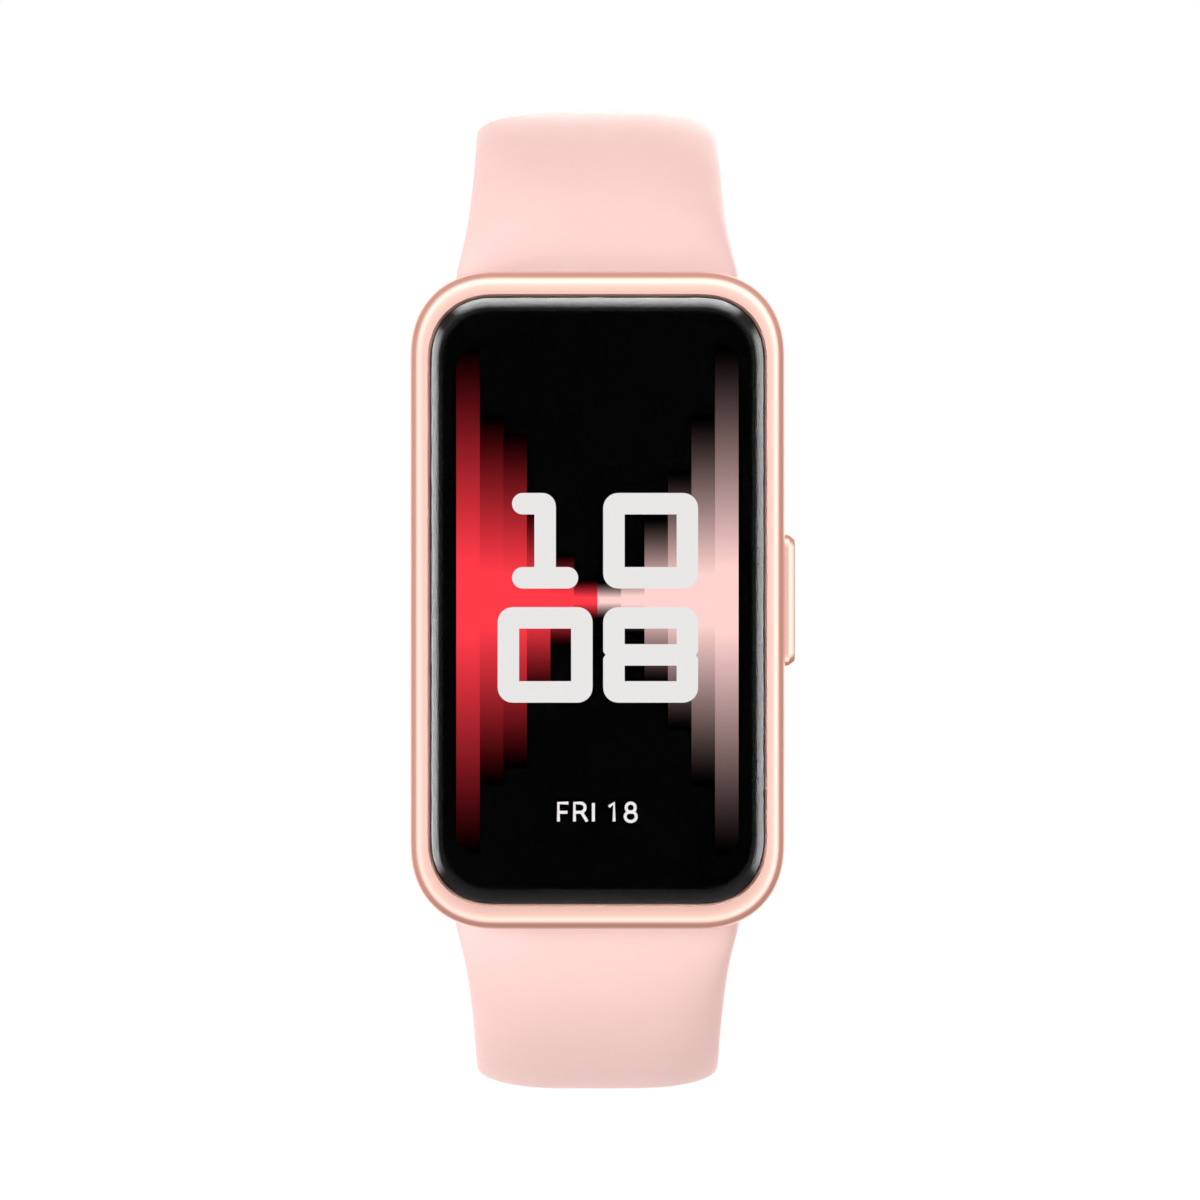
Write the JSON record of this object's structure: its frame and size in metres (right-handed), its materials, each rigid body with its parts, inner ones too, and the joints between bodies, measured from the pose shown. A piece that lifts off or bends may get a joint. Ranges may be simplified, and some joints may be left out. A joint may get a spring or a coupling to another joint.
{
  "type": "fitness tracker band",
  "caption": "Slim fitness tracker on a pink silicone strap, buckled: rounded metal case, curved glass with a clock face, side button, rear sensor, pin buckle.",
  "frame": {"origin": "middle of the flat rear face of the sensor window, which rests on the wrist", "axes": "+Z towards twelve o'clock along the case, +X towards the side button, +Y out of the rear face towards the wrist, so the display faces -Y"},
  "size_m": [0.0255, 0.0573, 0.0654],
  "materials": {
    "case_metal": "satin rose gold anodising",
    "button_metal": "satin rose gold anodising",
    "buckle_metal": "satin rose gold plating",
    "strap_silicone": "matt soft-touch silicone",
    "rear_plastic": "fine satin moulding",
    "cover_glass": "polished, curved edge",
    "sensor_glass": "polished, dark tint",
    "display": "black panel that lights up",
    "seal_rubber": "matt",
    "steel": "plain bright steel",
    "motor_weight_metal": "sintered tungsten",
    "contact_gold": "gold plated",
    "circuit_board": "solder mask",
    "flex_circuit": "amber film",
    "battery_pouch": "foil pouch",
    "chip_plastic": "moulded epoxy",
    "led_green": "clear moulding over the chip",
    "photodiode": "clear moulding over the chip"
  },
  "bodies": {
    "case": {"case_frame": "case_metal", "cover_glass": "cover_glass", "display_gasket": "seal_rubber", "display_panel": "display", "chassis_plate": "steel", "chassis_screw_upper_left": "steel", "chassis_screw_upper_right": "steel", "chassis_screw_lower_left": "steel", "chassis_screw_lower_right": "steel", "battery": "battery_pouch", "main_board": "circuit_board", "processor_shield": "steel", "processor_chip": "chip_plastic", "memory_chip": "chip_plastic", "motion_sensor_chip": "chip_plastic", "display_flex": "flex_circuit", "antenna_strip": "contact_gold", "sensor_flex": "flex_circuit", "sensor_board": "circuit_board", "green_led_left": "led_green", "green_led_right": "led_green", "photodiode_upper": "photodiode", "photodiode_lower": "photodiode", "rear_seal": "seal_rubber", "rear_cover": "rear_plastic", "sensor_window": "sensor_glass", "charge_contact_left": "contact_gold", "charge_contact_right": "contact_gold", "motor_base": "steel", "motor_can": "steel", "key_switch": "chip_plastic", "key_bracket": "steel"},
    "button": {"side_button": "button_metal", "button_seal": "seal_rubber", "button_clip": "steel"},
    "motor_rotor": {"motor_weight": "motor_weight_metal"},
    "upper_strap": {"upper_strap": "strap_silicone", "upper_spring_bar": "steel", "upper_bar_spring": "steel"},
    "lower_strap": {"lower_strap": "strap_silicone", "lower_spring_bar": "steel", "lower_bar_spring": "steel"},
    "upper_release": {"upper_release_pin": "steel"},
    "lower_release": {"lower_release_pin": "steel"},
    "buckle": {"buckle_frame": "buckle_metal", "buckle_bar": "steel"},
    "tongue": {"buckle_tongue": "buckle_metal"},
    "keeper": {"strap_keeper": "strap_silicone"}
  },
  "joints": [
    {"name": "button_press", "type": "slide", "parent": "case", "child": "button", "axis": [-1, 0, 0], "range_m": [0, 0.0003], "stiffness_N_per_m": 2500, "springref_m": -0.0003},
    {"name": "motor_spin", "type": "hinge", "parent": "case", "child": "motor_rotor", "pos_m": [-0.0056, -0.0032, 0.01], "axis": [0, 1, 0], "continuous": true},
    {"name": "upper_strap_swing", "type": "hinge", "parent": "case", "child": "upper_strap", "pos_m": [0, -0.0032, 0.019], "axis": [1, 0, 0], "range_deg": [0, 35]},
    {"name": "lower_strap_swing", "type": "hinge", "parent": "case", "child": "lower_strap", "pos_m": [0, -0.0032, -0.019], "axis": [-1, 0, 0], "range_deg": [0, 35], "deforming": ["lower_strap"]},
    {"name": "upper_release_slide", "type": "slide", "parent": "upper_strap", "child": "upper_release", "axis": [-1, 0, 0], "range_m": [0, 0.0012], "stiffness_N_per_m": 600, "springref_m": -0.001, "deforming": ["upper_bar_spring"]},
    {"name": "lower_release_slide", "type": "slide", "parent": "lower_strap", "child": "lower_release", "axis": [-1, 0, 0], "range_m": [0, 0.0012], "stiffness_N_per_m": 600, "springref_m": -0.001, "deforming": ["lower_bar_spring"]},
    {"name": "buckle_swing", "type": "hinge", "parent": "upper_strap", "child": "buckle", "pos_m": [0, 0.04399, 0.003], "axis": [1, 0, 0], "range_deg": [0, 85]},
    {"name": "tongue_swing", "type": "hinge", "parent": "buckle", "child": "tongue", "pos_m": [0, 0.04399, 0.003], "axis": [1, 0, 0], "range_deg": [0, 40]},
    {"name": "keeper_slide", "type": "hinge", "parent": "upper_strap", "child": "keeper", "pos_m": [0, 0.0015, 0], "axis": [1, 0, 0], "range_deg": [-8, 8]}
  ]
}
